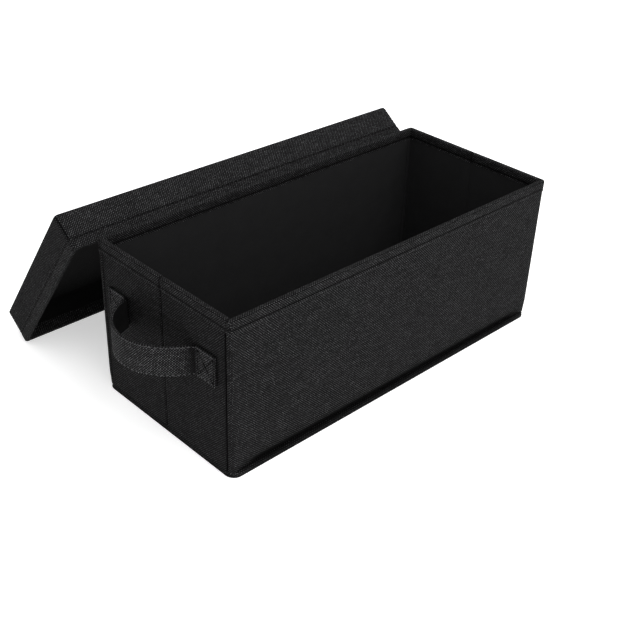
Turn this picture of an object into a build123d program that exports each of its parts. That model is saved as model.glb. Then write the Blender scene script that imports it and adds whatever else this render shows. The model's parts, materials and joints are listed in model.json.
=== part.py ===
from build123d import *
import math
import os

# The box: length along X, width along Y, standing on its base at z = 0
box_length = 360.7
box_width = 160.0
box_height = 139.7

# Layers of a wall, from the outside in
wall_cover = 0.8
wall_board = 2.6
wall_lining = 0.6
long_wall_radius = 3.0
half_wall_radius = 1.2

# The long walls step in at the foot, where they are sewn to the base
tuck_height = 4.5
tuck_depth = 2.0

# Fabric folded over the rim
rim_binding = 0.4
rim_band = 10.0

# Fold lines at the upright corners and down the middle of each end
fold_gap = 0.3
fold_bead_radius = 0.35

# Sewn base under the walls
base_panel_thickness = 1.2
base_panel_edge = 0.8
base_lip_height = 3.3
base_lip_width = 4.0
base_lip_edge = 1.2
base_side_reach = 1.5
base_end_reach = 0.4
base_radius = 10.0
wall_fold_clearance = 0.4

# Loose stiffener that lies in the base
stiffener_backing = 0.4
stiffener_board = 2.2
stiffener_cover = 0.6
stiffener_clearance = 1.0
stiffener_radius = 4.0

# Handle strap on each end
strap_width = 27.0
strap_thickness = 2.4
strap_bottom = 77.0
strap_span = 86.0
strap_bow = 33.0
strap_tab = 23.0

# Lid, sized to drop over the rim
lid_cover = 0.7
lid_board = 1.9
lid_lining = 0.5
lid_top_board = 2.2
lid_clearance = 0.8
lid_depth = 31.6
lid_corner_radius = 4.0
lid_edge_radius = 2.0
lid_hem = 0.4
lid_hem_band = 10.0
hem_mitre = 8.0

# The lid stands behind the box, its hollow against the back wall
lid_sideways = -15.0
lid_rest_drop = 3.2
lid_rest_gap = 0.3
steepest_lean = 75.0

# Sizes that follow
wall = wall_cover + wall_board + wall_lining
wall_top = box_height - rim_binding
fold_line = wall + rim_binding
base_lip_top = base_panel_thickness + base_lip_height
folding_bottom = base_lip_top + wall_fold_clearance
half_wall_end = box_width / 2 - fold_line - fold_gap
lid_wall = lid_cover + lid_board + lid_lining
lid_margin = rim_binding + lid_clearance + lid_hem + lid_wall
lid_half_length = box_length / 2 + lid_margin
lid_half_width = box_width / 2 + lid_margin


def block(x, y, z):
    spans = (x, y, z)
    middle = [(low + high) / 2 for low, high in spans]
    return Pos(*middle) * Box(*[high - low for low, high in spans])


def slab(x, y, z, radius):
    # A block whose two upright edges on the low-y side are rounded
    solid = block(x, y, z)
    return fillet(solid.edges().filter_by(Axis.Z).group_by(Axis.Y)[0], radius)


def pillow_block(half_x, half_y, z, radius):
    # A centred block with all four upright edges rounded
    solid = block((-half_x, half_x), (-half_y, half_y), z)
    return fillet(solid.edges().filter_by(Axis.Z), radius)


def save(name, solid):
    solid.label = name
    export_step(solid, os.path.join("parts", name + ".step"))


def save_wall(name, x, bottom, radius, end_wrap, tuck, place):
    # A wall lies along its own x, its outer face on y = 0 and its inner face on y = wall
    heights = (bottom, wall_top)
    pocket_x = (x[0] + wall_cover, x[1] - wall_cover)
    pocket_radius = radius - wall_cover
    lining_back = wall - wall_lining
    shell = slab(x, (0, wall), heights, radius)
    pocket = slab(pocket_x, (wall_cover, wall), heights, pocket_radius)
    board = slab(pocket_x, (wall_cover, lining_back), heights, pocket_radius)
    lining = block(pocket_x, (lining_back, wall), heights)
    if tuck:
        shell -= block(x, (0, tuck), (bottom, bottom + tuck_height))
        step = block(x, (0, tuck + wall_cover), (bottom, bottom + tuck_height + wall_cover))
        pocket -= step
        board -= step
    save(name + "_cover", place * (shell - pocket))
    save(name + "_board", place * board)
    save(name + "_lining", place * lining)

    band = (box_height - rim_band, box_height)
    band_x = (x[0] - end_wrap, x[1] + end_wrap)
    band_y = (-rim_binding, wall + rim_binding)
    band_inside = (box_height - rim_band, wall_top)
    if end_wrap:
        binding = slab(band_x, band_y, band, radius + rim_binding)
        binding -= slab(x, (0, wall), band_inside, radius)
    else:
        binding = block(band_x, band_y, band) - block(x, (0, wall), band_inside)
    save(name + "_rim_binding", place * binding)


def save_fold(name, x, y):
    # Rolled fabric on a fold line, under the rim binding
    low = folding_bottom
    high = box_height - rim_band - fold_gap
    bead = Cylinder(fold_bead_radius, high - low, align=(Align.CENTER, Align.CENTER, Align.MIN))
    save(name, Pos(x, y, low) * bead)


def make_walls():
    front = Location((0, -box_width / 2, 0), (0, 0, 0))
    right = Location((box_length / 2, 0, 0), (0, 0, 90))
    back = Location((0, box_width / 2, 0), (0, 0, 180))
    left = Location((-box_length / 2, 0, 0), (0, 0, -90))
    full = (-box_length / 2, box_length / 2)
    low_half = (-half_wall_end, -fold_gap)
    high_half = (fold_gap, half_wall_end)
    save_wall("front_wall", full, folding_bottom, long_wall_radius, rim_binding, tuck_depth, front)
    save_wall("back_wall", full, base_lip_top, long_wall_radius, rim_binding, tuck_depth, back)
    save_wall("left_front_half", high_half, folding_bottom, half_wall_radius, 0, 0, left)
    save_wall("left_back_half", low_half, folding_bottom, half_wall_radius, 0, 0, left)
    save_wall("right_front_half", low_half, folding_bottom, half_wall_radius, 0, 0, right)
    save_wall("right_back_half", high_half, folding_bottom, half_wall_radius, 0, 0, right)


def make_folds():
    corner_x = box_length / 2 - fold_line
    corner_y = box_width / 2 - fold_line
    crease_x = box_length / 2 + rim_binding
    for side, sign in (("left", -1), ("right", 1)):
        save_fold("front_" + side + "_corner_fold", sign * corner_x, -corner_y)
        save_fold("back_" + side + "_corner_fold", sign * corner_x, corner_y)
        save_fold(side + "_crease_fold", sign * crease_x, 0)


def make_base():
    half_x = box_length / 2 + base_end_reach
    half_y = box_width / 2 + base_side_reach
    panel = pillow_block(half_x, half_y, (0, base_panel_thickness), base_radius)
    panel = fillet(panel.faces().sort_by(Axis.Z)[0].edges(), base_panel_edge)
    heights = (base_panel_thickness, base_lip_top)
    lip = pillow_block(half_x, half_y, heights, base_radius)
    lip = fillet(lip.faces().sort_by(Axis.Z)[-1].edges(), base_lip_edge)
    inner_x = half_x - base_lip_width
    inner_y = half_y - base_lip_width
    lip -= pillow_block(inner_x, inner_y, heights, base_radius - base_lip_width)
    save("bottom_panel", panel)
    save("base_lip", lip)


def make_stiffener():
    half_x = box_length / 2 - fold_line - stiffener_clearance
    half_y = box_width / 2 - fold_line - stiffener_clearance
    low = base_panel_thickness
    board_low = low + stiffener_backing
    board_high = board_low + stiffener_board
    inner_x = half_x - stiffener_cover
    inner_y = half_y - stiffener_cover
    inner_radius = stiffener_radius - stiffener_cover
    board = pillow_block(inner_x, inner_y, (board_low, board_high), inner_radius)
    cap = pillow_block(half_x, half_y, (board_low, board_high + stiffener_cover), stiffener_radius)
    save("stiffener_backing", pillow_block(half_x, half_y, (low, board_low), stiffener_radius))
    save("stiffener_board", board)
    save("stiffener_cover", cap - board)


def make_handles():
    # Seen from above: two sewn tabs, and between them a band bowed away from the wall
    half_span = strap_span / 2
    radius = (half_span**2 + strap_bow**2) / (2 * strap_bow)
    centre = radius - strap_bow
    ring = Circle(radius) - Circle(radius - strap_thickness)
    outside = Pos(0, -radius, 0) * Rectangle(4 * radius, 2 * radius)
    loop = (Pos(0, centre) * ring) & outside
    tab_length = strap_tab + strap_thickness
    tab_middle = half_span - strap_thickness + tab_length / 2
    tab = Rectangle(tab_length, strap_thickness)
    plan = loop
    for sign in (-1, 1):
        plan += Pos(sign * tab_middle, -strap_thickness / 2) * tab
    strap = Pos(0, 0, strap_bottom) * extrude(plan, strap_width)
    save("left_handle_strap", Location((-box_length / 2, 0, 0), (0, 0, -90)) * strap)
    save("right_handle_strap", Location((box_length / 2, 0, 0), (0, 0, 90)) * strap)


def lid_place():
    # The lower hem corner stands on the floor and the upper one leans just under the rim
    span = 2 * (lid_half_width + lid_hem)
    rise = min((box_height - lid_rest_drop) / span, math.sin(math.radians(steepest_lean)))
    lean = math.asin(rise)
    reach_y = lid_half_width + lid_hem
    reach_z = lid_depth + lid_hem
    y = box_width / 2 + rim_binding + lid_rest_gap + math.cos(lean) * reach_y + math.sin(lean) * reach_z
    z = math.sin(lean) * reach_y + math.cos(lean) * reach_z
    print("lid lean", round(math.degrees(lean), 3), "lid centre y", round(y, 3), "z", round(z, 3))
    return Location((lid_sideways, y, z), (-math.degrees(lean), 0, 0))


def lid_shells(place):
    inner_radius = lid_corner_radius - lid_cover
    outer = pillow_block(lid_half_length, lid_half_width, (-lid_depth, 0), lid_corner_radius)
    outer = fillet(outer.faces().sort_by(Axis.Z)[-1].edges(), lid_edge_radius)
    hollow_z = (-lid_depth, -lid_cover)
    hollow = pillow_block(lid_half_length - lid_cover, lid_half_width - lid_cover, hollow_z, inner_radius)
    hollow = fillet(hollow.faces().sort_by(Axis.Z)[-1].edges(), lid_edge_radius - lid_cover)
    save("lid_cover", place * (outer - hollow))

    lining_x = lid_half_length - lid_cover - lid_board
    lining_y = lid_half_width - lid_cover - lid_board
    lining_top = -lid_cover - lid_top_board
    shell = block((-lining_x, lining_x), (-lining_y, lining_y), (-lid_depth, lining_top))
    room_x = lining_x - lid_lining
    room_y = lining_y - lid_lining
    room = block((-room_x, room_x), (-room_y, room_y), (-lid_depth, lining_top - lid_lining))
    save("lid_lining", place * (shell - room))


def lid_boards(place):
    face_x = lid_half_length - lid_cover
    face_y = lid_half_width - lid_cover
    corner = lid_corner_radius - lid_cover
    edge = lid_edge_radius - lid_cover
    top_z = (-lid_cover - lid_top_board, -lid_cover)
    save("lid_top_board", place * pillow_block(face_x - edge, face_y - edge, top_z, corner - edge))
    skirt_z = (-lid_depth, -lid_cover - lid_top_board)
    long_x = (corner - face_x, face_x - corner)
    short_y = (corner - face_y, face_y - corner)
    save("lid_front_board", place * block(long_x, (-face_y, lid_board - face_y), skirt_z))
    save("lid_back_board", place * block(long_x, (face_y - lid_board, face_y), skirt_z))
    save("lid_left_board", place * block((-face_x, lid_board - face_x), short_y, skirt_z))
    save("lid_right_board", place * block((face_x - lid_board, face_x), short_y, skirt_z))


def lid_hems(place):
    # One folded ring round the free edge, mitred into four strips
    band = (-lid_depth - lid_hem, lid_hem_band - lid_depth)
    outer_x = lid_half_length + lid_hem
    outer_y = lid_half_width + lid_hem
    ring = pillow_block(outer_x, outer_y, band, lid_corner_radius + lid_hem)
    ring -= pillow_block(lid_half_length, lid_half_width, (-lid_depth, band[1]), lid_corner_radius)
    inner_x = lid_half_length - lid_wall
    inner_y = lid_half_width - lid_wall
    inside = block((-inner_x, inner_x), (-inner_y, inner_y), band)
    room_x = inner_x - lid_hem
    room_y = inner_y - lid_hem
    room = block((-room_x, room_x), (-room_y, room_y), band)
    hem = ring + inside - room
    corner = {(i, j): (i * outer_x, j * outer_y) for i in (-1, 1) for j in (-1, 1)}
    mitre = {(i, j): (i * (outer_x - hem_mitre), j * (outer_y - hem_mitre)) for i, j in corner}
    sides = {
        "front": ((-1, -1), (1, -1)),
        "right": ((1, -1), (1, 1)),
        "back": ((1, 1), (-1, 1)),
        "left": ((-1, 1), (-1, -1)),
    }
    for side, (a, b) in sides.items():
        outline = Polygon(corner[a], corner[b], mitre[b], mitre[a], align=None)
        wedge = Pos(0, 0, band[0]) * extrude(outline, band[1] - band[0])
        save("lid_" + side + "_hem", place * (hem & wedge))


os.makedirs("parts", exist_ok=True)
make_walls()
make_folds()
make_base()
make_stiffener()
make_handles()
lid = lid_place()
lid_shells(lid)
lid_boards(lid)
lid_hems(lid)
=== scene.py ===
import json
import math
import bmesh
import bpy
from mathutils import Matrix, Vector


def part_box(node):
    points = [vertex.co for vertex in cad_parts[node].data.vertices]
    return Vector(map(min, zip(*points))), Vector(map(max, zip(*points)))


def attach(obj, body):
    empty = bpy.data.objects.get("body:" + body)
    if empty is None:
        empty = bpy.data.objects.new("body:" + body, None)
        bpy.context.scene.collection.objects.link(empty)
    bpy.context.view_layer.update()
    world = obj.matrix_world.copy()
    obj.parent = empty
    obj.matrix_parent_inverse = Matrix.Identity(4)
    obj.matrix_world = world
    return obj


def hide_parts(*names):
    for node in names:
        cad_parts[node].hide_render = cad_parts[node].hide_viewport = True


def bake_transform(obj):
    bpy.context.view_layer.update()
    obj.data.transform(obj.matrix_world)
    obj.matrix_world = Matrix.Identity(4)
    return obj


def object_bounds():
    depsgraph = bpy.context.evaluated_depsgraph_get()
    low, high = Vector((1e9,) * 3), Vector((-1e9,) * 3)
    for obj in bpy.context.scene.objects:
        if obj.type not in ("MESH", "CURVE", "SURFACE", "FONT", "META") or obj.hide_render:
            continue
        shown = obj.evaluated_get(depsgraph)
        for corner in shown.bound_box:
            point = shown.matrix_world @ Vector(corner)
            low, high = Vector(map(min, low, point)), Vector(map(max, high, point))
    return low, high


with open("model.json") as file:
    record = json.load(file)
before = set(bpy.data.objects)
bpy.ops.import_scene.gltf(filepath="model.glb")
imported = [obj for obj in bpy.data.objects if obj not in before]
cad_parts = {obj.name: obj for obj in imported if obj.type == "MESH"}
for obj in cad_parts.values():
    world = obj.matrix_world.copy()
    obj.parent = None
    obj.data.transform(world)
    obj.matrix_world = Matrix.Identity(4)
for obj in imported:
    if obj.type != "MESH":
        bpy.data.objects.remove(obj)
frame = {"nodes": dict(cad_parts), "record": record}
cadLow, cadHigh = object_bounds()
mm = 0.001
bodyOf = {node: body for body, nodes in frame["record"]["behaviour"]["bodies"].items() for node in nodes}
print("frame loaded with", len(frame["nodes"]), "nodes")


class Wire:
    # a shader socket that can be used in sums
    def __init__(self, owner, socket=None):
        self.owner = owner  # a material or a world
        self.socket = socket

    def node(self, kind, settings, inputs, out=0):
        made = self.owner.node_tree.nodes.new(kind)
        for key, value in settings.items():
            setattr(made, key, value)
        for key, value in inputs.items():
            if isinstance(value, Wire):
                self.owner.node_tree.links.new(value.socket, made.inputs[key])
            else:
                made.inputs[key].default_value = value
        if isinstance(out, tuple):
            return [Wire(self.owner, made.outputs[i]) for i in out]
        return Wire(self.owner, made.outputs[out])

    def calc(self, operation, *values):
        return self.node("ShaderNodeMath", {"operation": operation}, dict(enumerate(values)))

    def sine(self):
        return self.calc("SINE", self)

    def floor(self):
        return self.calc("FLOOR", self)

    def ramp(self, start, change):
        # start where this is 0, and changed by so much where it is 1
        return start + self * change

    def noise(self, spot, scale, detail, rough=0.5):
        inputs = {"Vector": spot, "Scale": scale, "Detail": detail, "Roughness": rough}
        return self.node("ShaderNodeTexNoise", {}, inputs)

    def mix(self, share, first, second):
        # a Mix node's colours are its sockets 6 and 7
        return self.node("ShaderNodeMix", {"data_type": "RGBA"}, {0: share, 6: first, 7: second}, 2)

    def __add__(self, other):
        return self.calc("ADD", self, other)

    def __sub__(self, other):
        return self.calc("SUBTRACT", self, other)

    def __rsub__(self, other):
        return self.calc("SUBTRACT", other, self)

    def __mul__(self, other):
        return self.calc("MULTIPLY", self, other)

    def __truediv__(self, other):
        return self.calc("DIVIDE", self, other)

    def __pow__(self, other):
        return self.calc("POWER", self, other)

    def __gt__(self, other):
        return self.calc("GREATER_THAN", self, other)

    def __abs__(self):
        return self.calc("ABSOLUTE", self)

    __radd__ = __add__
    __rmul__ = __mul__


def startMaterial(name):
    material = bpy.data.materials.new(name)
    material.use_nodes = True
    return Wire(material)


def endMaterial(wire, colour, polish, height, look):
    # polish, from 0 to 1, takes the roughness down from its dullest
    roughness = polish.ramp(*look["rough"])
    relief = {"Strength": look["bump"], "Distance": look["relief"] * mm, "Height": height}
    bump = wire.node("ShaderNodeBump", {}, relief)
    shader = wire.owner.node_tree.nodes["Principled BSDF"]
    links = wire.owner.node_tree.links
    links.new(colour.socket, shader.inputs["Base Color"])
    links.new(roughness.socket, shader.inputs["Roughness"])
    links.new(bump.socket, shader.inputs["Normal"])
    shader.inputs["Specular IOR Level"].default_value = look["gloss"]
    return wire.owner


coolTint = 1.03


def tone(value):
    return (value, value, value * coolTint, 1)


def clothSpot(wire):
    # the place on the flat cloth, in metres, as a vector and as its two parts
    cloth = wire.node("ShaderNodeUVMap", {"uv_map": "cloth"}, {})
    across, up = wire.node("ShaderNodeSeparateXYZ", {}, {0: cloth}, (0, 1))
    return cloth, across, up


# plain weave: weft and warp cross in a chequer, and each thread wanders in tone
weaveLook = {
    "pitch": 1.08,
    "thread": 0.185,
    "gap": 0.0008,
    "warp": 0.2,
    "warpHeight": 0.35,
    "round": (0.7, 0.3),  # how a thread falls off, across it and along it
    "float": (2.4, 2.8),  # how far its lit crest reaches, along it and across it
    "wander": 0.07,
    "apart": (0.71, 0.73),  # from one warp thread's tone to the next one's, and for the weft
    "fleck": (0.55, 0.9),
    "glint": (0.97, 0.2),
    "wornScale": 28.0,
    "worn": (0.8, 0.4),
    # how strongly the painted shade in folds and seams darkens the weave
    "paintedShadeStrength": 0.95,
    "rough": (0.92, -0.22),
    "bump": 0.8,
    "relief": 0.25,
    "gloss": 0.04,
}


def weaveMaterial(name, look):
    wire = startMaterial(name)
    cloth, across, up = clothSpot(wire)
    u = across / (look["pitch"] * mm)
    v = up / (look["pitch"] * mm)
    waveU = (u * math.pi).sine()
    waveV = (v * math.pi).sine()
    weftOnTop = (waveU * waveV) > 0
    crestU = abs(waveU)
    crestV = abs(waveV)

    def topThread(warp, weft):
        return warp + (weft - warp) * weftOnTop

    flank, run = look["round"]
    weft = (crestV ** flank) * (crestU ** run)
    warp = (crestU ** flank) * (crestV ** run) * look["warpHeight"]
    height = topThread(warp, weft)

    # each thread has its own tone, and each crossing its own fleck
    row = v.floor()
    column = u.floor()
    warpApart, weftApart = look["apart"]
    alongWeft = wire.node("ShaderNodeCombineXYZ", {}, {0: u * look["wander"], 1: row * weftApart})
    alongWarp = wire.node("ShaderNodeCombineXYZ", {}, {0: column * warpApart, 1: v * look["wander"]})
    weftTone = wire.noise(alongWeft, scale=1.0, detail=3.0)
    warpTone = wire.noise(alongWarp, scale=1.0, detail=3.0) * look["warp"]
    cell = wire.node("ShaderNodeCombineXYZ", {}, {0: column, 1: row})
    fleck = wire.node("ShaderNodeTexWhiteNoise", {"noise_dimensions": "2D"}, {"Vector": cell})
    rare, glint = look["glint"]
    bright = topThread(warpTone, weftTone) * fleck.ramp(*look["fleck"]) + (fleck > rare) * glint

    # lit crests, worn in patches, and darker in the folds with painted shade
    runs, thins = look["float"]
    warpFloat = (crestU ** thins) * (crestV ** runs)
    weftFloat = (crestU ** runs) * (crestV ** thins)
    patches = wire.noise(cloth, scale=look["wornScale"], detail=4.0).ramp(*look["worn"])
    tuck = wire.node("ShaderNodeAttribute", {"attribute_name": "tuck"}, {}, 2)
    share = topThread(warpFloat, weftFloat) * bright * patches * (1 - tuck * look["paintedShadeStrength"])
    colour = wire.mix(share, tone(look["gap"]), tone(look["thread"]))
    return endMaterial(wire, colour, height, height, look)


# non-woven lining, pressed with small dots
liningLook = {
    "dot": 1.6,
    "dotDark": 0.55,
    "tone": 0.02,
    "dark": 0.006,
    "fibreScale": 1400.0,
    "fibre": (0.35, 0.9),
    "fibreHigh": 0.6,
    "cloudScale": 60.0,
    "cloud": (0.75, 0.5),
    "rough": (0.95, -0.15),
    "bump": 0.5,
    "relief": 0.15,
    "gloss": 0.08,
}


def liningMaterial(name, look):
    wire = startMaterial(name)
    cloth, across, up = clothSpot(wire)
    u = (across + up) * (math.pi / (look["dot"] * mm))
    v = (across - up) * (math.pi / (look["dot"] * mm))
    dots = abs(u.sine() * v.sine())
    fibres = wire.noise(cloth, scale=look["fibreScale"], detail=5.0, rough=0.7)
    clouds = wire.noise(cloth, scale=look["cloudScale"], detail=3.0)
    share = (1 - dots * look["dotDark"]) * fibres.ramp(*look["fibre"]) * clouds.ramp(*look["cloud"])
    colour = wire.mix(share, tone(look["dark"]), tone(look["tone"]))
    height = fibres * look["fibreHigh"] - dots
    return endMaterial(wire, colour, fibres, height, look)


# sewing thread: two twisted plies along each stitch
threadLook = {
    "ply": 0.9,
    "plyLean": 1.4,
    "groove": 0.35,
    "twist": 0.7,
    "fuzz": 0.3,
    "fuzzScale": 900.0,
    "rough": (0.7, -0.2),
    "bump": 0.8,
    "relief": 0.1,
    "gloss": 0.01,
}


def threadMaterial(name, shade, look):
    wire = startMaterial(name)
    spot = wire.node("ShaderNodeTexCoord", {}, {}, "Object")
    across, deep, up = wire.node("ShaderNodeSeparateXYZ", {}, {0: spot}, (0, 1, 2))
    turn = (across + deep + up * look["plyLean"]) * (2 * math.pi / (look["ply"] * mm))
    twist = turn.sine().ramp(0.5, 0.5)
    fuzz = wire.noise(spot, scale=look["fuzzScale"], detail=3.0)
    share = twist * look["twist"] + fuzz * look["fuzz"]
    # darker between the plies: painted shade in the grooves
    colour = wire.mix(share, tone(shade * look["groove"]), tone(shade))
    return endMaterial(wire, colour, twist, twist, look)


# grey board inside the walls and the lid
boardLook = {
    "light": (0.43, 0.36, 0.27, 1),
    "dark": (0.3, 0.25, 0.19, 1),
    "pulp": 0.7,
    "pulpScale": 350.0,
    "stain": 0.4,
    "stainScale": 25.0,
    "rough": (0.95, -0.15),
    "bump": 0.3,
    "relief": 0.2,
    "gloss": 0.3,
}


def boardMaterial(name, look):
    wire = startMaterial(name)
    spot = wire.node("ShaderNodeTexCoord", {}, {}, "Object")
    pulp = wire.noise(spot, scale=look["pulpScale"], detail=6.0, rough=0.7)
    stain = wire.noise(spot, scale=look["stainScale"], detail=3.0)
    share = pulp * look["pulp"] + stain * look["stain"]
    colour = wire.mix(share, look["dark"], look["light"])
    return endMaterial(wire, colour, pulp, pulp, look)


finish = {
    "cover": weaveMaterial("wovenCover", weaveLook),
    # the lid's copy of the weave is lighter: painted light on the lid
    "lidCover": weaveMaterial("lidCover", {**weaveLook, "thread": 0.25}),
    # the ends' copy of the weave is darker: painted shade for the side that gets less light
    "endCoverPaintedShade": weaveMaterial("endCoverPaintedShade", {**weaveLook, "thread": 0.145}),
    "binding": weaveMaterial("rimBinding", {**weaveLook, "thread": 0.21}),
    "strap": weaveMaterial("strapWeave", {**weaveLook, "thread": 0.32}),
    "base": weaveMaterial("baseWeave", {**weaveLook, "thread": 0.19}),
    "lining": liningMaterial("pressedLining", liningLook),
    # a darker copy of the lining: painted shade for the lid's hollow and the strap's inner side
    "paintedShadeLining": liningMaterial("paintedShadeLining", {**liningLook, "tone": 0.007, "dark": 0.002}),
    "thread": threadMaterial("seamThread", 0.004, threadLook),
    "strapThread": threadMaterial("strapThread", 0.1, {**threadLook, "gloss": 0.1}),
    "board": boardMaterial("greyBoard", boardLook),
}
print("materials made:", len(finish))


# how closely a test on places, edges and faces has to be met
within = {
    "touch": 0.01,
    "straight": 0.99,
    "square": 0.9,
    "fold": 0.5,
    "longEdge": 0.5,
    "endward": 0.7,
}


def clearSelection():
    bpy.ops.object.select_all(action="DESELECT")


def hold(piece):
    clearSelection()
    piece.select_set(True)
    bpy.context.view_layer.objects.active = piece


def editOn(piece):
    hold(piece)
    bpy.ops.object.mode_set(mode="EDIT")


def editOff():
    bpy.ops.object.mode_set(mode="OBJECT")


def pick(piece, kind, test):
    # selects the vertices, edges or faces that pass a test, and nothing else
    bpy.ops.mesh.select_mode(type=kind)
    bpy.ops.mesh.select_all(action="DESELECT")
    mesh = bmesh.from_edit_mesh(piece.data)
    for item in {"VERT": mesh.verts, "EDGE": mesh.edges, "FACE": mesh.faces}[kind]:
        if test(item):
            item.select_set(True)
    mesh.select_flush_mode()
    bmesh.update_edit_mesh(piece.data)


# tests: an axis is 0, 1 or 2, for x, y or z
def near(place, other):
    return abs(place - other) < within["touch"] * mm


def along(edge, axis):
    span = edge.verts[1].co - edge.verts[0].co
    return abs(span[axis]) > within["straight"] * span.length


def middle(edge):
    return (edge.verts[0].co + edge.verts[1].co) / 2


def looksAlong(face, axis, way=0):
    # way 1 or -1 picks one side of the piece, 0 takes both
    lean = face.normal[axis]
    return (lean * way if way else abs(lean)) > within["square"]


def isFold(edge):
    # an edge between a level face and an upright one
    if len(edge.link_faces) != 2:
        return False
    one, other = (face.normal.z for face in edge.link_faces)
    return abs(one - other) > within["fold"]


def plainName(node):
    first, *others = node.split("_")
    return first + "".join(word.capitalize() for word in others)


def startBlock(name, low, high):
    # a plain block, left in edit mode to be shaped
    clearSelection()
    bpy.ops.mesh.primitive_cube_add(size=1, location=(low + high) / 2, scale=high - low)
    piece = bpy.context.object
    piece.name = name
    piece.data.name = name
    bpy.ops.object.transform_apply(location=True, rotation=True, scale=True)
    piece.data.uv_layers[0].name = "cloth"
    editOn(piece)
    return piece


def dropFaces(piece, test):
    pick(piece, "FACE", test)
    bpy.ops.mesh.delete(type="FACE")


def openBelow(piece):
    dropFaces(piece, lambda face: looksAlong(face, 2, -1))


def roundEdges(piece, test, radius, steps):
    pick(piece, "EDGE", test)
    bpy.ops.mesh.bevel(
        offset=radius,
        offset_type="OFFSET",
        segments=steps,
        affect="EDGES",
        clamp_overlap=False,
    )


def roundUprights(piece, radius, steps):
    roundEdges(piece, lambda edge: along(edge, 2), radius * mm, steps)


def roundOuter(piece, face, radius, steps):
    # only the upright edges of a wall's outer face
    roundEdges(piece, lambda edge: along(edge, 2) and near(middle(edge).y, face), radius * mm, steps)


def roundFolds(piece, level, radius, steps):
    # the edges at one height that lie between a level face and an upright one
    roundEdges(piece, lambda edge: near(middle(edge).z, level) and isFold(edge), radius * mm, steps)


def splitAlong(piece, axis, spacing):
    # even cuts across every long edge that lies along one axis
    mesh = bmesh.from_edit_mesh(piece.data)
    longest = max(edge.calc_length() for edge in mesh.edges if along(edge, axis))
    least = within["longEdge"] * longest
    pick(piece, "EDGE", lambda edge: along(edge, axis) and edge.calc_length() > least)
    bpy.ops.mesh.subdivide(number_cuts=max(1, round(longest / spacing) - 1))


def cutAt(piece, axis, place):
    bpy.ops.mesh.select_mode(type="VERT")
    bpy.ops.mesh.select_all(action="SELECT")
    spot = Vector((0, 0, 0))
    spot[axis] = place
    way = Vector((0, 0, 0))
    way[axis] = 1
    bpy.ops.mesh.bisect(plane_co=spot, plane_no=way)


def cutSeam(piece, axis, place, reach):
    # a row of points along the seam, and one on each side of it
    for shift in (-1, 0, 1):
        cutAt(piece, axis, place + shift * reach)


def useModifier(piece, kind, **settings):
    hold(piece)
    modifier = piece.modifiers.new(kind.lower(), kind)
    for key, value in settings.items():
        setattr(modifier, key, value)
    bpy.ops.object.modifier_apply(modifier=modifier.name)


def thicken(piece, thickness, offset=-1):
    # inwards, or outwards with an offset of 1
    useModifier(piece, "SOLIDIFY", thickness=thickness * mm, offset=offset)


def unit(value):
    return min(1.0, max(0.0, value))


def ease(share):
    # from 0 to 1 with a soft start and a soft end
    return share * share * (3 - 2 * share)


def spanOf(spots):
    low = Vector([min(s[i] for s in spots) for i in range(3)])
    high = Vector([max(s[i] for s in spots) for i in range(3)])
    return low, high


def ownBox(place, *nodes):
    # the nodes' box, in a frame that is turned and placed as given
    back = place.inverted()
    return spanOf([back @ v.co for node in nodes for v in frame["nodes"][node].data.vertices])


slack = {"depth": 0.7, "size": 0.055, "layers": 1, "fade": 0.02}
slackNoise = bpy.data.textures.new("clothSlack", "CLOUDS")
slackNoise.noise_scale = slack["size"]
slackNoise.noise_depth = slack["layers"]


def easeCloth(piece, flat, depth):
    # a little slackness, strongest in the middle of the panel and none along its edges
    low, high = spanOf([v.co for v in piece.data.vertices])
    group = piece.vertex_groups.new(name="slack")
    for v in piece.data.vertices:
        share = 1.0
        for axis in flat:
            inset = min(v.co[axis] - low[axis], high[axis] - v.co[axis]) / slack["fade"]
            share *= unit(inset)
        group.add([v.index], ease(share), "REPLACE")
    useModifier(
        piece,
        "DISPLACE",
        texture=slackNoise,
        texture_coords="LOCAL",
        strength=depth * mm,
        mid_level=0.5,
        vertex_group="slack",
    )


def mapCloth(piece):
    editOn(piece)
    bpy.ops.mesh.select_all(action="SELECT")
    bpy.ops.uv.cube_project(cube_size=1, correct_aspect=False)
    editOff()


def wrapCloth(piece, low, high, radius):
    # carries the weave round the upright edges without a break
    flatEnd = high.x - radius
    layer = piece.data.uv_layers["cloth"]
    for loop in piece.data.loops:
        spot = piece.data.vertices[loop.vertex_index].co
        beyond = abs(spot.x) - flatEnd
        inward = spot.y - low.y
        run = abs(spot.x)
        if beyond > 0:
            turn = math.atan2(beyond, radius - inward) if inward < radius else math.pi / 2
            run = flatEnd + radius * turn + max(0.0, inward - radius)
        layer.data[loop.index].uv = (math.copysign(run, spot.x), spot.z)


def paintFoldShade(piece, rule):
    # keeps how far each point lies in a fold, for the weave to darken there with painted shade
    mark = piece.data.attributes.new("tuck", "FLOAT", "POINT")
    for v in piece.data.vertices:
        mark.data[v.index].value = unit(rule(v.co))


def setPlace(piece, place):
    hold(piece)
    piece.matrix_world = place
    bpy.ops.object.transform_apply(location=True, rotation=True, scale=True)


def smooth(piece, angle=40):
    hold(piece)
    bpy.ops.object.shade_smooth_by_angle(angle=math.radians(angle))


def finishCloth(piece, thickness=0, shade=None):
    # lays the weave on the shaped cloth, marks its folds and gives it its thickness
    mapCloth(piece)
    if shade:
        paintFoldShade(piece, shade)
    if thickness:
        thicken(piece, thickness)
    smooth(piece)


def dress(piece, look, nodes, body=None):
    piece.data.materials.clear()
    piece.data.materials.append(finish[look])
    if body:
        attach(piece, body)
    if nodes:
        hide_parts(*nodes)


def shadeEndFaces(piece):
    # faces that look along the box take the ends' weave, darker with painted shade for the side that gets
    # less light
    piece.data.materials.append(finish["endCoverPaintedShade"])
    for face in piece.data.polygons:
        face.material_index = 1 if abs(face.normal.x) > within["endward"] else 0


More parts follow.
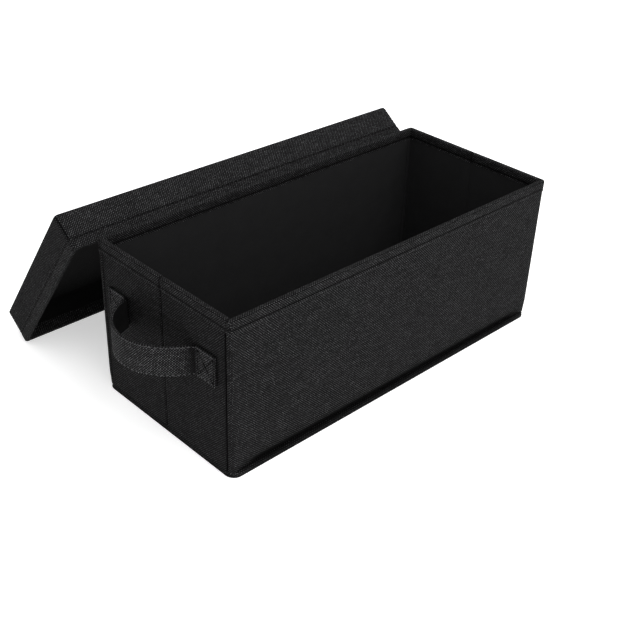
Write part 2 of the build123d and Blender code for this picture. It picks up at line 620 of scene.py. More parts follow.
# camera, fitted to the box's edges in the picture, in mm and degrees
shot = {
    "azimuth": -45.06,
    "elevation": 32.22,
    "roll": 2.4,
    "distance": 842.02,
    "target": (-53.37, -39.24, 70.0),
    "focalPixels": 1041.86,
    "imagePixels": 640,
    "sensor": 36.0,
    "nearest": 10.0,
}


def makeCamera():
    azimuth, elevation, roll = (math.radians(shot[key]) for key in ("azimuth", "elevation", "roll"))
    level = math.cos(elevation)
    back = Vector((math.sin(azimuth) * level, -math.cos(azimuth) * level, math.sin(elevation)))
    turn = (-back).to_track_quat("-Z", "Y").to_matrix() @ Matrix.Rotation(roll, 3, "Z")
    place = Vector(shot["target"]) * mm + back * shot["distance"] * mm
    clearSelection()
    bpy.ops.object.camera_add(location=place, rotation=turn.to_euler())
    camera = bpy.context.object
    camera.data.sensor_width = shot["sensor"]
    camera.data.lens = shot["focalPixels"] / shot["imagePixels"] * shot["sensor"]
    camera.data.clip_start = shot["nearest"] * mm
    bpy.context.scene.camera = camera
    print("camera set")


# studio, in metres and watts
studio = {
    "floorSize": 14.0,
    "floorTone": (0.9, 0.9, 0.9),
    "floorShade": 0.985,
    "floorGrain": 3.0,
    "floorGlow": 0.5,
    "floorLook": {"rough": (0.9, -0.1), "bump": 0.0, "relief": 0.1, "gloss": 0.2},
    "skyStrength": 1.0,
    "skyLeft": 0.6,
    "skyFade": (-0.9, 0.3),
    "keyPower": 22.0,
    "keyPlace": (0.12, -1.2, 1.75),
    "keySize": 1.6,
    "fillPower": 3.0,
    "fillPlace": (-1.4, -0.8, 1.1),
    "fillSize": 1.8,
}


def makeFloor():
    clearSelection()
    bpy.ops.mesh.primitive_plane_add(size=studio["floorSize"])
    floor = bpy.context.object
    floor.name = "floor"
    wire = startMaterial("paleFloor")
    spot = wire.node("ShaderNodeTexCoord", {}, {}, "Object")
    grain = wire.noise(spot, scale=studio["floorGrain"], detail=2.0)
    pale = (*studio["floorTone"], 1)
    shade = (*(part * studio["floorShade"] for part in studio["floorTone"]), 1)
    material = endMaterial(wire, wire.mix(grain, shade, pale), grain, grain, studio["floorLook"])
    shader = material.node_tree.nodes["Principled BSDF"]
    shader.inputs["Emission Color"].default_value = (1, 1, 1, 1)
    shader.inputs["Emission Strength"].default_value = studio["floorGlow"]
    floor.data.materials.append(material)


def makeSky():
    # the sky is weaker on the left, so the near end stays darker than the long wall
    world = bpy.data.worlds.new("paleSky")
    world.use_nodes = True
    sky = Wire(world)
    way = sky.node("ShaderNodeTexCoord", {}, {}, "Generated")
    side = sky.node("ShaderNodeSeparateXYZ", {}, {0: way}, 0)
    left, right = studio["skyFade"]
    fade = {"Value": side, "From Min": left, "From Max": right}
    share = sky.node("ShaderNodeMapRange", {"interpolation_type": "SMOOTHSTEP"}, fade)
    weak = studio["skyLeft"]
    glow = sky.mix(share, (weak, weak, weak, 1), (1, 1, 1, 1))
    back = world.node_tree.nodes["Background"]
    world.node_tree.links.new(glow.socket, back.inputs["Color"])
    back.inputs["Strength"].default_value = studio["skyStrength"]
    bpy.context.scene.world = world


def makeStudio():
    makeFloor()
    makeSky()
    middleOfBox = (cadLow + cadHigh) / 2
    for light in ("key", "fill"):
        place = Vector(studio[light + "Place"])
        turn = (middleOfBox - place).to_track_quat("-Z", "Y").to_euler()
        bpy.ops.object.light_add(type="AREA", location=place, rotation=turn)
        lamp = bpy.context.object
        lamp.name = light + "Light"
        lamp.data.energy = studio[light + "Power"]
        lamp.data.size = studio[light + "Size"]
    bpy.context.scene.view_settings.view_transform = "Standard"
    print("studio set")


# stitches: one thread hump, copied along each seam
stitch = {
    "length": 2.8,
    "width": 0.9,
    "height": 0.5,
    "pitch": 3.8,
    "slant": 6.0,
    "proud": 0.0,
    "sides": 6,
    "rings": 5,
    "smooth": 60,
}
strapStitch = {**stitch, "length": 1.8, "width": 0.8, "pitch": 4.0, "slant": 0.0, "proud": 0.1}
tabStitch = {**stitch, "width": 1.3, "height": 0.7, "pitch": 3.1, "slant": 0.0}
hemStitch = {**stitch, "length": 3.2, "width": 1.3, "height": 0.8, "pitch": 4.8, "slant": 12.0}


def sewRow(start, end, outward, look, size=stitch):
    # a row from start to end, lying on a face that looks outward
    clearSelection()
    run = end - start
    count = max(2, round(run.length / (size["pitch"] * mm)))
    step = run.length / count
    lengths = (size["length"] * mm, size["width"] * mm, size["height"] * mm)
    slant = math.radians(size["slant"])
    # a ball one unit across, its poles turned to the ends of the stitch
    bpy.ops.mesh.primitive_uv_sphere_add(segments=size["sides"], ring_count=size["rings"], radius=0.5)
    row = bpy.context.object
    row.name = "row"
    row.data.name = "row"
    bpy.ops.object.mode_set(mode="EDIT")
    bpy.ops.transform.rotate(value=math.radians(90), orient_axis="Y", center_override=(0, 0, 0))
    bpy.ops.transform.resize(value=lengths)
    bpy.ops.transform.rotate(value=slant, orient_axis="Z", center_override=(0, 0, 0))
    bpy.ops.transform.translate(value=(step / 2, 0, size["proud"] * mm))
    editOff()
    useModifier(
        row,
        "ARRAY",
        count=count,
        use_relative_offset=False,
        use_constant_offset=True,
        constant_offset_displace=(step, 0, 0),
    )
    way = run.normalized()
    side = outward.cross(way)
    turn = Matrix((way, side, outward)).transposed().to_4x4()
    setPlace(row, Matrix.Translation(start) @ turn)
    row.data.materials.clear()
    row.data.materials.append(finish[look])
    smooth(row, size["smooth"])
    return row


def joinPieces(name, pieces):
    clearSelection()
    for piece in pieces:
        piece.select_set(True)
    bpy.context.view_layer.objects.active = pieces[0]
    bpy.ops.object.join()
    pieces[0].name = name
    pieces[0].data.name = name
    return pieces[0]


# walls: x runs along the wall, y goes in from its outer face
wall = {
    "turns": {"frontWall": 0, "rightEnd": 90, "backWall": 180, "leftEnd": -90},
    "parts": {
        "frontWall": ["front_wall"],
        "backWall": ["back_wall"],
        "leftEnd": ["left_back_half", "left_front_half"],
        "rightEnd": ["right_back_half", "right_front_half"],
    },
    "longRadius": 3.0,
    "endRadius": 1.2,
    "roundSteps": 4,
    "cover": 0.8,
    "binding": 0.4,
    "grid": 4.5,
    # height above the foot and depth drawn in there
    "footRings": ((0.0, 2.0), (2.2, 1.9), (3.6, 1.5), (4.8, 0.85), (6.0, 0.35), (7.4, 0.1)),
    # from and to, measured in from the corner, and the share of that depth
    "footFade": ((-1.0, 3.2, 0.1), (3.2, 9.0, 0.5), (9.0, 18.0, 0.8), (18.0, 999.0, 1.0)),
    # heights above the foot where the painted shade on the drawn-in foot is full and where it ends
    "footPaintedShade": (3.5, 8.5),
    "footEnds": (5.0, 28.0),
    "footRadius": 5.0,
    "footRise": 14.0,
    # place across the crease and depth of its groove there
    "creaseRings": (
        (-2.4, 0.0), (-1.1, 0.12), (-0.45, 0.32), (0.0, 0.5), (0.45, 0.32), (1.1, 0.12), (2.4, 0.0),
    ),
    "creaseBlend": 2.2,
    # how strong the painted shade in an end's crease is
    "creasePaintedShade": 0.5,
    "seamGap": 0.7,
    # how far the painted shade reaches in from each corner seam
    "seamPaintedShade": 1.6,
}


def wallPlace(name):
    return Matrix.Rotation(math.radians(wall["turns"][name]), 4, "Z")


def isEnd(name):
    return name.endswith("End")


def nodesOf(name, layer):
    return [part + layer for part in wall["parts"][name]]


def placeWallPiece(piece, name, layer, look, extra=()):
    # a long wall's piece rides on its wall, an end's piece is baked in place and joined to no body
    setPlace(piece, wallPlace(name))
    nodes = [*nodesOf(name, layer), *extra]
    if not isEnd(name):
        dress(piece, look, nodes, bodyOf[nodes[0]])
        return
    dress(piece, look, nodes)
    low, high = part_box(nodes[0])
    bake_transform(piece)


def drawIn(piece, test, deep, inner, depth):
    # draws the chosen points towards the inner face, which lies deep behind them
    pick(piece, "VERT", test)
    share = (deep - depth) / deep
    bpy.ops.transform.resize(value=(1, share, 1), center_override=(0, inner, 0))


def foldCrease(piece, deep, inner, share=1.0):
    # the groove down the middle of an end
    for across, depth in wall["creaseRings"]:
        cutAt(piece, 0, across * mm)
        drawIn(piece, lambda v: near(v.co.x, across * mm), deep, inner, share * depth * mm)


def drawFoot(piece, low, high):
    # a long wall's foot is drawn in where it is sewn to the base, less towards the corners
    deep = high.y - low.y

    def onRow(v, up, begin, end):
        inset = high.x - abs(v.co.x)
        return near(v.co.z, low.z + up * mm) and begin * mm < inset <= end * mm

    for up, depth in wall["footRings"]:
        for begin, end, share in wall["footFade"]:
            drawIn(piece, lambda v: onRow(v, up, begin, end), deep, high.y, share * depth * mm)


def roundFoot(piece, low, high, radius):
    # the upright edges open into a wider round at the foot, where they meet the lip
    for v in piece.data.vertices:
        fall = unit(1 - (v.co.z - low.z) / (wall["footRise"] * mm))
        wide = radius + (wall["footRadius"] * mm - radius) * ease(fall)
        side = wide - high.x + abs(v.co.x)
        deep = wide - v.co.y + low.y
        reach = math.hypot(side, deep)
        if side > 0 and deep > 0 and reach > wide:
            v.co.x = math.copysign(high.x - wide + side * wide / reach, v.co.x)
            v.co.y = low.y + wide - deep * wide / reach


def endFade(inset):
    # none by the box's corners, full further along the wall
    none, full = wall["footEnds"]
    return unit((inset / mm - none) / (full - none))


def makeCover(name):
    low, high = ownBox(wallPlace(name), *nodesOf(name, "_cover"))
    radius = wall["endRadius" if isEnd(name) else "longRadius"]
    if isEnd(name):
        low.x += wall["seamGap"] * mm
        high.x -= wall["seamGap"] * mm
    deep = high.y - low.y
    cover = startBlock(name + "Cover", low, high)
    dropFaces(cover, lambda face: looksAlong(face, 1, 1) or looksAlong(face, 2))
    roundOuter(cover, low.y, radius, wall["roundSteps"])
    if not isEnd(name):
        for up, depth in wall["footRings"][1:]:
            cutAt(cover, 2, low.z + up * mm)
    splitAlong(cover, 2, wall["grid"] * mm)
    splitAlong(cover, 0, wall["grid"] * mm)
    if isEnd(name):
        foldCrease(cover, deep, high.y)
    else:
        drawFoot(cover, low, high)
    editOff()
    easeCloth(cover, (0, 2), slack["depth"])
    wrapCloth(cover, low, high, radius * mm)
    if not isEnd(name):
        roundFoot(cover, low, high, radius * mm)

    def endShade(spot):
        # painted shade by the corner seams and in the crease
        sides = wall["seamPaintedShade"] * mm
        return max(1 - (high.x - abs(spot.x)) / sides, wall["creasePaintedShade"] * (1 - abs(spot.x) / sides))

    def footShade(spot):
        # painted shade on the drawn-in foot, fading out towards the corners
        full, none = wall["footPaintedShade"]
        up = (spot.z - low.z) / mm
        return unit((none - up) / (none - full)) * endFade(high.x - abs(spot.x))

    paintFoldShade(cover, endShade if isEnd(name) else footShade)
    thicken(cover, wall["cover"])
    smooth(cover)
    folds = [name.replace("End", "") + "_crease_fold"] if isEnd(name) else []
    placeWallPiece(cover, name, "_cover", "endCoverPaintedShade" if isEnd(name) else "cover", folds)


def makeLining(name):
    low, high = ownBox(wallPlace(name), *nodesOf(name, "_lining"))
    lining = startBlock(name + "Lining", low, high)
    splitAlong(lining, 2, 2 * wall["grid"] * mm)
    splitAlong(lining, 0, 2 * wall["grid"] * mm)
    if isEnd(name):
        foldCrease(lining, high.y - low.y, low.y)
    editOff()
    finishCloth(lining)
    placeWallPiece(lining, name, "_lining", "lining")


# fabric folded over the rim, sewn through below it
rim = {
    "radius": 1.5,
    "roundSteps": 4,
    "cornerSteps": 5,
    "grid": 3.8,
    "endGap": 0.5,
    "seamDown": 7.4,
    "seamReach": 1.3,
    "seamDent": 0.3,
    # how strong the painted shade along the seam is
    "seamPaintedShade": 1.0,
    "creaseShare": 0.6,
    # how far the painted shade reaches from the middle of an end's crease
    "creasePaintedShade": 1.4,
    "stitchInset": 4.0,
}


def makeBinding(name):
    low, high = ownBox(wallPlace(name), *nodesOf(name, "_rim_binding"))
    if isEnd(name):
        low.x -= rim["endGap"] * mm
        high.x += rim["endGap"] * mm
    deep = high.y - low.y
    centre = (low.y + high.y) / 2
    seam = high.z - rim["seamDown"] * mm
    binding = startBlock(name + "Binding", low, high)
    openBelow(binding)
    if isEnd(name):
        dropFaces(binding, lambda face: looksAlong(face, 0))
    else:
        roundOuter(binding, low.y, wall["longRadius"] + wall["binding"], rim["cornerSteps"])
    roundFolds(binding, high.z, rim["radius"], rim["roundSteps"])
    splitAlong(binding, 0, rim["grid"] * mm)
    cutSeam(binding, 2, seam, rim["seamReach"] * mm)
    drawIn(binding, lambda v: near(v.co.z, seam), deep / 2, centre, rim["seamDent"] * mm)
    if isEnd(name):
        foldCrease(binding, deep / 2, centre, rim["creaseShare"])
    editOff()

    def bindingShade(spot):
        # painted shade along the seam, and on an end in the crease
        sewn = rim["seamPaintedShade"] * (1 - abs(spot.z - seam) / (rim["seamReach"] * mm))
        creased = 1 - abs(spot.x) / (rim["creasePaintedShade"] * mm) if isEnd(name) else 0
        return max(sewn, creased)

    finishCloth(binding, wall["binding"], bindingShade)
    placeWallPiece(binding, name, "_rim_binding", "binding")
    sewBinding(name, low, high, seam)


def sewBinding(name, low, high, seam):
    # the seam that holds the folded edge, outside and inside
    dent = rim["seamDent"] * mm
    inset = rim["stitchInset"] * mm
    parts = wall["parts"][name]
    spans = [(low.x, high.x)]
    if isEnd(name):
        # from outside, the back half is on the left at the left end and on the right at the other
        free = wall["creaseBlend"] * mm
        spans = [(low.x, -free), (free, high.x)]
        parts = parts if name == "leftEnd" else parts[::-1]
    for (left, right), part in zip(spans, parts):
        rows = []
        for y, out in ((low.y + dent, -1), (high.y - dent, 1)):
            begin = Vector((left + inset, y, seam))
            end = Vector((right - inset, y, seam))
            rows.append(sewRow(begin, end, Vector((0, out, 0)), "thread"))
        sewn = joinPieces(plainName(part) + "RimStitches", rows)
        setPlace(sewn, wallPlace(name))
        dress(sewn, "thread", [], bodyOf[part + "_rim_binding"])


def makeWalls():
    for name in wall["turns"]:
        makeCover(name)
        makeLining(name)
        makeBinding(name)
        print("wall dressed:", name)


# upright corners: a fabric tape folded into each inner corner, which is the hinge there
tape = {
    "joins": {
        "front_left": ("left_front_half", "front_wall"),
        "front_right": ("right_front_half", None),
        "back_left": ("left_back_half", "box_body"),
        "back_right": ("right_back_half", "box_body"),
    },
    "leg": 3.2,
    "seat": 0.35,
    "fold": 0.5,
    "foldSteps": 3,
    "thickness": 0.3,
    "grid": 9.0,
    "halfSpan": 0.35,
    "rise": 1.5,
    "smooth": 50,
}


def makeCorners():
    for name, (half, long) in tape["joins"].items():
        node = name + "_corner_fold"
        low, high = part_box(node)
        axis = (low + high) / 2
        inward = Vector((-math.copysign(1, axis.x), -math.copysign(1, axis.y), 0))
        spot = axis - inward * tape["seat"] * mm
        far = spot + inward * tape["leg"] * mm
        blockLow = Vector((min(spot.x, far.x), min(spot.y, far.y), low.z))
        blockHigh = Vector((max(spot.x, far.x), max(spot.y, far.y), high.z + tape["rise"] * mm))
        strip = startBlock(plainName(name) + "Tape", blockLow, blockHigh)
        # only the faces that lie on the walls stay
        dropFaces(strip, lambda face: looksAlong(face, 2) or face.normal.dot(inward) > within["square"])
        bpy.ops.mesh.select_all(action="SELECT")
        bpy.ops.mesh.flip_normals()
        if long:
            roundEdges(
                strip,
                lambda edge: along(edge, 2) and len(edge.link_faces) == 2,
                tape["fold"] * mm,
                tape["foldSteps"],
            )
        else:
            dropFaces(strip, lambda face: looksAlong(face, 1))
        splitAlong(strip, 2, tape["grid"] * mm)
        editOff()
        mapCloth(strip)
        thicken(strip, tape["thickness"], 1)
        smooth(strip, tape["smooth"])
        dress(strip, "lining", [node], None if long else half)
        if long:
            # the leg on the half runs along y, the one on the long wall along x
            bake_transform(strip)
    print("corner tapes made")


# sewn base: the panel under the box and the rolled lip round it
base = {
    "radius": 8.5,
    "roundSteps": 7,
    "grid": 9.0,
    "lipWidth": 4.0,
    "lipEdge": 1.3,
    # how strong the painted shade on the lip is along the long sides, below the overhanging wall
    "lipPaintedShade": 0.7,
    "plainEnd": 71.0,  # the lip is left square this far from the middle of an end
    "outerShare": 0.93,
    "sharpAngle": 40.0,
    "grooveIn": 1.2,
    "grooveEdge": 0.4,
    "grooveHigh": 0.1,
    "panelEdge": 0.5,
    "edgeSteps": 3,
    "panelAngle": 60.0,
}


def makeLip():
    level = Matrix.Identity(4)
    low, high = ownBox(level, "base_lip")
    wallLow, wallHigh = ownBox(level, "left_front_half_cover", "right_back_half_cover")
    low.x = wallLow.x
    high.x = wallHigh.x
    lip = startBlock("baseLip", low, high)
    dropFaces(lip, lambda face: looksAlong(face, 2))
    roundUprights(lip, base["radius"], base["roundSteps"])
    splitAlong(lip, 0, base["grid"] * mm)
    editOff()
    thicken(lip, base["lipWidth"])
    editOn(lip)

    def rolled(edge):
        # the outer top edge, along the long sides and round the corners
        spot = middle(edge)
        if not near(spot.z, high.z) or along(edge, 2) or abs(spot.y) < base["plainEnd"] * mm:
            return False
        shares = [max(abs(v.co.y) / high.y, abs(v.co.x) / high.x) for v in edge.verts]
        sharp = edge.calc_face_angle(0) > math.radians(base["sharpAngle"])
        return sharp and min(shares) > base["outerShare"]

    roundEdges(lip, rolled, base["lipEdge"] * mm, base["edgeSteps"])
    editOff()

    def lipShade(spot):
        # painted shade in the groove behind the roll, which runs out round the corners, and along the long
        # sides below the wall
        inset = high.x - abs(spot.x)
        groove = (high.y - base["grooveIn"] * mm - abs(spot.y)) / (base["grooveEdge"] * mm)
        runOut = unit(inset / (base["radius"] * mm))
        onTop = spot.z > high.z - base["grooveHigh"] * mm
        inGroove = unit(groove) * runOut if onTop else 0
        return max(inGroove, base["lipPaintedShade"] * endFade(inset))

    finishCloth(lip, shade=lipShade)
    dress(lip, "base", ["base_lip"], "box_body")
    shadeEndFaces(lip)


def makePanel():
    low, high = ownBox(Matrix.Identity(4), "bottom_panel")
    panel = startBlock("bottomPanel", low, high)
    roundUprights(panel, base["radius"], base["roundSteps"])
    editOff()
    useModifier(
        panel,
        "BEVEL",
        width=base["panelEdge"] * mm,
        segments=base["edgeSteps"],
        limit_method="ANGLE",
        angle_limit=math.radians(base["panelAngle"]),
    )
    finishCloth(panel)
    dress(panel, "base", ["bottom_panel"], "box_body")


def makeBase():
    makeLip()
    makePanel()
    print("base made")


# loose stiffener in the base: a board in a lining bag
stiffener = {"radius": 4.0, "roundSteps": 5, "edge": 0.9, "edgeSteps": 3, "cover": 0.6, "grid": 8.0}


def makeStiffener():
    level = Matrix.Identity(4)
    low, high = ownBox(level, "stiffener_cover")
    bag = startBlock("stiffenerCover", low, high)
    openBelow(bag)
    roundUprights(bag, stiffener["radius"], stiffener["roundSteps"])
    roundFolds(bag, high.z, stiffener["edge"], stiffener["edgeSteps"])
    splitAlong(bag, 0, stiffener["grid"] * mm)
    splitAlong(bag, 1, stiffener["grid"] * mm)
    editOff()
    finishCloth(bag, stiffener["cover"])
    dress(bag, "lining", ["stiffener_cover"], "stiffener")

    low, high = ownBox(level, "stiffener_backing")
    back = startBlock("stiffenerBacking", low, high)
    roundUprights(back, stiffener["radius"], stiffener["roundSteps"])
    editOff()
    finishCloth(back)
    dress(back, "lining", ["stiffener_backing"], "stiffener")
    print("stiffener made")


# handle strap: a flat folded band, sewn down at both ends, its loop bowed out and sagging
strap = {
    "tab": 23.0,
    "tabGap": 2.0,
    "thickness": 2.4,
    "span": 86.0,
    "bow": 34.0,
    "skew": 4.0,
    "loopShare": 0.94,
    "pathSteps": 28,
    "sag": 1.5,
    "sagReach": 4.0,
    "edge": 0.9,
    "edgeSteps": 3,
    "undercut": 1.3,
    "cuts": 90,
    "seamIn": 1.9,
    "seamReach": 0.8,
    "seamShare": 0.8,  # how much of the thickness the seams leave
    "boxInset": 2.6,
    # how far the painted shade at the fold reaches into the tab and into the loop
    "foldPaintedShade": (1.5, 9.0),
}


def strapPath():
    # middle line of the strap seen from above, from the tab on the left to the tab on the right
    half = strap["span"] / 2
    lift = strap["thickness"] / 2
    radius = (half ** 2 + strap["bow"] ** 2) / (2 * strap["bow"])
    centre = radius - strap["bow"]
    inner = radius - lift
    reach = math.asin(half / radius) * strap["loopShare"]
    tabBegin = half + strap["tabGap"]
    tabEnd = half + strap["tab"]
    spots = [(-tabEnd, -lift), (-tabBegin, -lift)]
    for i in range(strap["pathSteps"] + 1):
        angle = -reach + 2 * reach * i / strap["pathSteps"]
        out = inner * math.cos(angle) - centre
        spots.append((inner * math.sin(angle) - strap["skew"] * out / strap["bow"], -out))
    spots += [(tabBegin, -lift), (tabEnd, -lift)]
    return spots


def pathLength():
    spots = strapPath()
    return sum(math.dist(a, b) for a, b in zip(spots, spots[1:])) * mm


def bendOnPath(pieces, place, heightMiddle):
    # bends flat pieces along the strap's line and lets the loop sag
    clearSelection()
    line = bpy.data.curves.new("strapLine", "CURVE")
    line.dimensions = "2D"
    spline = line.splines.new("POLY")
    spots = strapPath()
    spline.points.add(len(spots) - 1)
    for point, (x, y) in zip(spline.points, spots):
        point.co = (x * mm, y * mm, 0, 1)
    path = bpy.data.objects.new("strapLine", line)
    bpy.context.scene.collection.objects.link(path)
    half = (strap["span"] / 2 + strap["sagReach"]) * mm
    for piece in pieces:
        useModifier(piece, "CURVE", object=path, deform_axis="POS_X")
        for v in piece.data.vertices:
            share = max(0.0, 1 - (v.co.x / half) ** 2)
            v.co.z += heightMiddle - strap["sag"] * mm * share * share
        setPlace(piece, place)
    bpy.data.objects.remove(path)


def shapeBand(name, length, wide):
    # the strap laid flat: x runs along it, and its outer face looks to -y
    thick = strap["thickness"] * mm
    reach = strap["seamReach"] * mm
    inset = strap["boxInset"] * mm
    seam = wide / 2 - strap["seamIn"] * mm
    low = Vector((0, -thick / 2, -wide / 2))
    high = Vector((length, thick / 2, wide / 2))
    band = startBlock(name, low, high)
    pick(band, "FACE", lambda face: looksAlong(face, 1, 1))
    slim = 2 * strap["undercut"] * mm
    narrowed = ((length - slim) / length, 1, (wide - slim) / wide)
    bpy.ops.transform.resize(value=narrowed, center_override=(length / 2, 0, 0))
    roundEdges(band, lambda edge: near(middle(edge).y, low.y), strap["edge"] * mm, strap["edgeSteps"])
    pick(band, "EDGE", lambda edge: along(edge, 0))
    bpy.ops.mesh.subdivide(number_cuts=strap["cuts"])
    for line in (-seam, seam):
        cutSeam(band, 2, line, reach)
    for line in (inset, length - inset):
        cutSeam(band, 0, line, reach)
    pick(band, "VERT", lambda v: near(abs(v.co.z), seam))
    bpy.ops.transform.resize(value=(1, strap["seamShare"], 1), center_override=(0, 0, 0))
    editOff()

    def foldShade(spot):
        # painted shade where the loop folds away from its tab, by the tab's outer stitches and at its foot
        fromEnd = min(spot.x, length - spot.x)
        inward = fromEnd / mm - strap["tab"]
        tabSide, loopSide = strap["foldPaintedShade"]
        if inward > 0:
            return 1 - inward / loopSide
        sewn = 1 - abs(fromEnd - inset) / reach
        return max(sewn, 1 + inward / tabSide, 1 if spot.y > 0 else 0)

    finishCloth(band, shade=foldShade)
    return band


def sewBand(side, length, wide):
    # two edge seams along the flat strap, and a crossed box on each tab
    crown = strap["thickness"] / 2 * mm
    skin = crown * strap["seamShare"]
    inset = strap["boxInset"] * mm
    tab = strap["tab"] * mm
    seam = wide / 2 - strap["seamIn"] * mm
    out = Vector((0, -1, 0))
    edgeRows = []
    for line in (-seam, seam):
        begin = Vector((inset, -skin, line))
        end = Vector((length - inset, -skin, line))
        edgeRows.append(sewRow(begin, end, out, "strapThread", strapStitch))
    tabRows = []
    heights = (inset - wide / 2, wide / 2 - inset)
    for ends in ((inset, tab - inset), (length - tab + inset, length - inset)):
        corners = [Vector((x, -crown, z)) for x in ends for z in heights]
        for a, b in ((0, 1), (2, 3), (0, 3), (1, 2)):
            tabRows.append(sewRow(corners[a], corners[b], out, "thread", tabStitch))
    return joinPieces(side + "StrapStitches", edgeRows), joinPieces(side + "TabStitches", tabRows)


def makeStrap(side):
    node = side + "_handle_strap"
    name = side + "End"
    place = wallPlace(name)
    low, high = ownBox(place, node)
    length = pathLength()
    wide = high.z - low.z
    band = shapeBand(side + "HandleStrap", length, wide)
    innerFaces = {face.index for face in band.data.polygons if looksAlong(face, 1, 1)}
    sewn, boxes = sewBand(side, length, wide)
    bendOnPath([band, sewn, boxes], place @ Matrix.Translation((0, high.y, 0)), (low.z + high.z) / 2)
    dress(band, "strap", [node])
    # the strap's inner faces take the darker lining: painted shade in the hollow of the loop
    band.data.materials.append(finish["paintedShadeLining"])
    for face in band.data.polygons:
        face.material_index = 1 if face.index in innerFaces else 0
    dress(sewn, "strapThread", [])
    dress(boxes, "thread", [])
    for piece in (band, sewn, boxes):
        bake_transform(piece)
    print("strap made:", side)


# lid: a shallow tray, upside down, in its own leaning frame with its top face at z = 0
lid = {
    "cover": 0.7,
    "lining": 0.5,
    "topBoard": 2.2,
    "corner": 4.0,
    "cornerSteps": 6,
    "edge": 2.0,
    "edgeSteps": 4,
    "grid": 6.0,
    "slack": 0.6,
    "seamPaintedShade": 1.5,
    "liningEdge": 1.0,
    "liningSteps": 3,
    "hem": 0.4,
    "hemCornerSteps": 5,
    "hemEdge": 0.9,
    "hemEdgeSteps": 3,
    "hemSeamUp": 8.6,
    "hemDent": 0.4,
    # how strong the painted shade along the hem's seam is
    "hemPaintedShade": 0.6,
    "stitchGap": 1.0,
}


def lidPlace():
    board = frame["nodes"]["lid_top_board"].data
    plate = max(board.polygons, key=lambda face: face.area)
    up = plate.normal if plate.normal.z > 0 else -plate.normal
    low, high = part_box("lid_top_board")
    top = (low + high) / 2 + up * (lid["topBoard"] / 2 + lid["cover"]) * mm
    lean = math.atan2(up.y, up.z)
    return Matrix.Translation(top) @ Matrix.Rotation(-lean, 4, "X")


def makeLidCover(place):
    low, high = ownBox(place, "lid_cover")
    cover = startBlock("lidCover", low, high)
    openBelow(cover)
    roundUprights(cover, lid["corner"], lid["cornerSteps"])
    roundFolds(cover, high.z, lid["edge"], lid["edgeSteps"])
    for axis in range(3):
        splitAlong(cover, axis, lid["grid"] * mm)
    editOff()
    easeCloth(cover, (0, 1), lid["slack"])

    def cornerSeamShade(spot):
        # painted shade along the middle of each rounded upright corner
        besideX = high.x - abs(spot.x)
        besideY = high.y - abs(spot.y)
        if max(besideX, besideY) > lid["corner"] * mm or spot.z > high.z - lid["edge"] * mm:
            return 0
        return 1 - abs(besideX - besideY) / (lid["seamPaintedShade"] * mm)

    finishCloth(cover, lid["cover"], cornerSeamShade)
    setPlace(cover, place)
    dress(cover, "lidCover", ["lid_cover"], "lid")
    shadeEndFaces(cover)


def makeLidLining(place):
    low, high = ownBox(place, "lid_lining")
    lining = startBlock("lidLining", low, high)
    openBelow(lining)
    roundEdges(
        lining,
        lambda edge: along(edge, 2) or near(middle(edge).z, high.z),
        lid["liningEdge"] * mm,
        lid["liningSteps"],
    )
    splitAlong(lining, 0, 2 * lid["grid"] * mm)
    splitAlong(lining, 1, 2 * lid["grid"] * mm)
    editOff()
    finishCloth(lining, lid["lining"])
    setPlace(lining, place)
    # the lid's lining is the darker copy: painted shade in the lid's hollow
    dress(lining, "paintedShadeLining", ["lid_lining"], "lid")


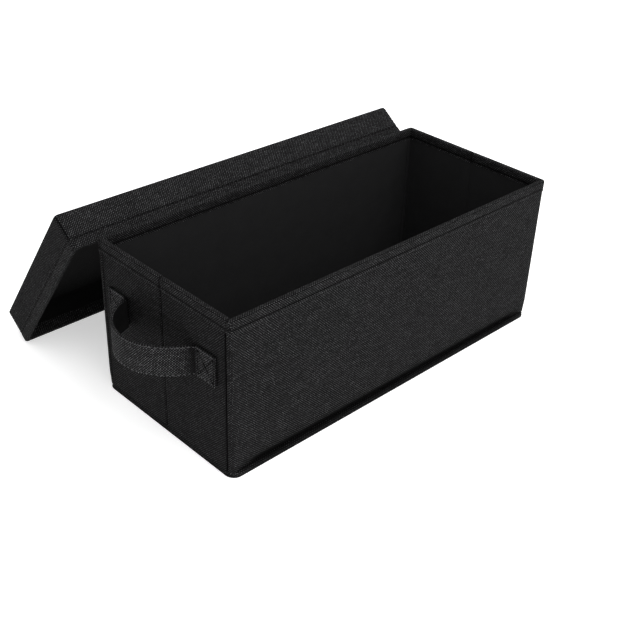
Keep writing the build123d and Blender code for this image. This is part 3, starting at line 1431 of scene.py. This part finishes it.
def makeLidHem(place):
    # a band round the skirt's edge, turned in and up inside it
    nodes = ["lid_" + side + "_hem" for side in ("front", "back", "left", "right")]
    low, high = ownBox(place, *nodes)
    inLow, inHigh = ownBox(place, "lid_lining")
    outside = high - low
    inside = inHigh - inLow - Vector((1, 1, 0)) * 2 * (lid["lining"] + lid["hem"]) * mm
    seam = low.z + lid["hemSeamUp"] * mm
    hem = startBlock("lidHem", low, high)
    dropFaces(hem, lambda face: looksAlong(face, 2))
    roundUprights(hem, lid["corner"] + lid["hem"], lid["hemCornerSteps"])
    cutSeam(hem, 2, seam, lid["seamPaintedShade"] * mm)
    drawn = 2 * lid["hemDent"] * mm
    dented = (1 - drawn / outside.x, 1 - drawn / outside.y, 1)
    pick(hem, "VERT", lambda v: near(v.co.z, seam))
    bpy.ops.transform.resize(value=dented, center_override=(0, 0, seam))
    turnedIn = (inside.x / outside.x, inside.y / outside.y, 1)
    pick(hem, "EDGE", lambda edge: near(middle(edge).z, low.z))
    bpy.ops.mesh.extrude_region_move()
    bpy.ops.transform.resize(value=turnedIn, center_override=(0, 0, low.z))
    bpy.ops.mesh.extrude_region_move(TRANSFORM_OT_translate={"value": (0, 0, outside.z)})
    roundFolds(hem, low.z, lid["hemEdge"], lid["hemEdgeSteps"])
    splitAlong(hem, 0, lid["grid"] * mm)
    splitAlong(hem, 1, lid["grid"] * mm)
    bpy.ops.mesh.select_all(action="SELECT")
    bpy.ops.mesh.normals_make_consistent(inside=False)
    editOff()

    def seamShade(spot):
        # painted shade along the hem's seam
        return lid["hemPaintedShade"] * (1 - abs(spot.z - seam) / (lid["seamPaintedShade"] * mm))

    finishCloth(hem, lid["hem"], seamShade)
    setPlace(hem, place)
    dress(hem, "binding", nodes, "lid")
    sewLid(place, low, high, seam)


def sewLid(place, low, high, seam):
    # hem seam outside, and the sewn upright corners
    rows = []
    inset = (lid["corner"] + lid["stitchGap"]) * mm
    ring = [(low.x, low.y), (high.x, low.y), (high.x, high.y), (low.x, high.y)]
    for (ax, ay), (bx, by) in zip(ring, ring[1:] + ring[:1]):
        begin = Vector((ax, ay, seam))
        end = Vector((bx, by, seam))
        way = (end - begin).normalized()
        out = way.cross(Vector((0, 0, 1)))
        sink = out * lid["hemDent"] * mm
        rows.append(sewRow(begin + way * inset - sink, end - way * inset - sink, out, "thread", hemStitch))
    cover = ownBox(place, "lid_cover")[1]
    drawn = lid["corner"] * mm * (1 - math.sqrt(0.5))  # from the square corner in to the rounded one
    for x, y in ring:
        sign = Vector((math.copysign(1, x), math.copysign(1, y), 0))
        corner = Vector((sign.x * cover.x, sign.y * cover.y, 0)) - sign * drawn
        begin = corner + Vector((0, 0, high.z))
        end = corner + Vector((0, 0, cover.z - lid["edge"] * mm))
        rows.append(sewRow(begin, end, sign.normalized(), "thread", tabStitch))
    sewn = joinPieces("lidStitches", rows)
    setPlace(sewn, place)
    dress(sewn, "thread", [], "lid")


def makeLid():
    place = lidPlace()
    makeLidCover(place)
    makeLidLining(place)
    makeLidHem(place)
    print("lid made")


def dressBoards():
    for node, piece in frame["nodes"].items():
        if node.endswith("_board"):
            piece.data.materials.clear()
            piece.data.materials.append(finish["board"])
    print("boards painted")


makeCamera()
makeStudio()
makeWalls()
makeCorners()
makeBase()
makeStiffener()
makeStrap("left")
makeStrap("right")
makeLid()
dressBoards()
